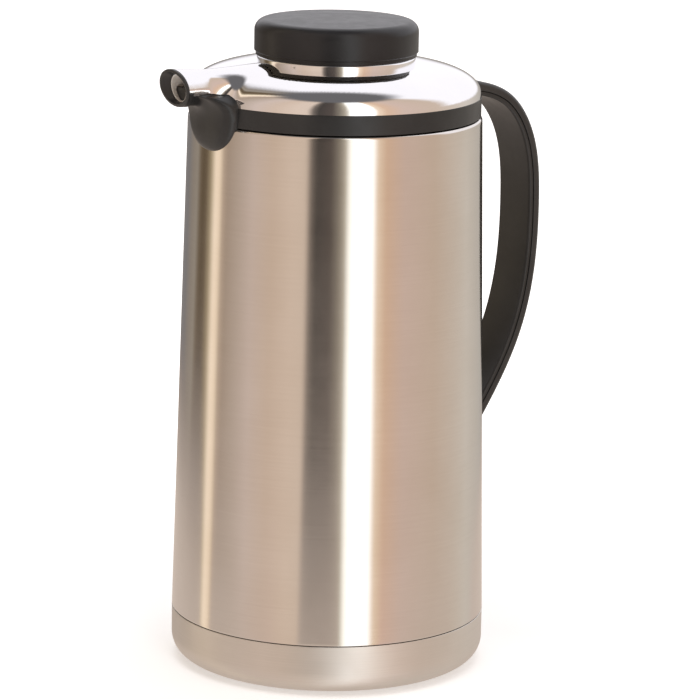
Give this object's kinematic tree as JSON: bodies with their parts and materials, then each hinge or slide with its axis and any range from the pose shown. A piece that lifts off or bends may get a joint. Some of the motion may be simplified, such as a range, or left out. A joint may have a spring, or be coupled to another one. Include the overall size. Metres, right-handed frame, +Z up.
{
  "type": "vacuum coffee jug",
  "caption": "Double-walled steel pouring jug with a chromed shoulder and spout, a black neck ring, a strap handle and a screw stopper.",
  "frame": {"origin": "on the jug's axis, in the plane it stands on", "axes": "+Z up along the jug's axis, -Y towards the spout, +Y towards the handle"},
  "size_m": [0.1444, 0.1964, 0.298],
  "materials": {
    "brushed_shell": "satin, brushed round the body",
    "liner_steel": "satin",
    "copper_foil": "bright foil",
    "getter_steel": "dull",
    "seal_metal": "dull solder",
    "pad_rubber": "matte",
    "ring_plastic": "satin black",
    "chrome_cover": "mirror",
    "chrome_trim": "mirror",
    "spout_plastic": "satin black",
    "sleeve_plastic": "matte, light grey",
    "silicone": "matte, translucent grey",
    "insert_plastic": "matte black",
    "cap_plastic": "fine matte black",
    "plug_plastic": "matte black",
    "foam": "rigid foam",
    "handle_plastic": "satin black",
    "cover_plastic": "satin black",
    "bracket_steel": "pressed steel",
    "screw_steel": "plated",
    "insert_brass": "turned"
  },
  "bodies": {
    "jug": {"outer_shell": "brushed_shell", "base_cup": "brushed_shell", "inner_liner": "liner_steel", "copper_wrap": "copper_foil", "getter_capsule": "getter_steel", "evacuation_seal": "seal_metal", "base_pad": "pad_rubber", "neck_ring": "ring_plastic", "shoulder_cover": "chrome_cover", "collar_trim": "chrome_trim", "spout_liner": "spout_plastic", "spout_sleeve": "sleeve_plastic", "spout_gasket": "silicone", "mouth_gasket": "silicone", "neck_insert": "insert_plastic", "handle_shell": "handle_plastic", "handle_cover": "cover_plastic", "handle_bracket": "bracket_steel", "handle_top_screw": "screw_steel", "handle_top_insert": "insert_brass"},
    "seal": {"seal_carrier": "plug_plastic", "stopper_seal": "silicone"},
    "stopper": {"stopper_cap": "cap_plastic", "stopper_top_plate": "plug_plastic", "stopper_screws": "screw_steel", "stopper_body": "plug_plastic", "stopper_bowl": "plug_plastic", "stopper_foam": "foam", "flange_seal": "silicone", "pivot_screw": "screw_steel"}
  },
  "joints": [
    {"name": "seal_rise", "type": "slide", "parent": "jug", "child": "seal", "axis": [0, 0, 1], "range_m": [0, 0.005]},
    {"name": "stopper_turn", "type": "hinge", "parent": "seal", "child": "stopper", "pos_m": [0, 0, 0.27], "axis": [0, 0, 1], "range_deg": [0, 150]}
  ],
  "couplings": [
    {"joint": "seal_rise", "follows": "stopper_turn", "m_per_rad": 0.0019099}
  ]
}
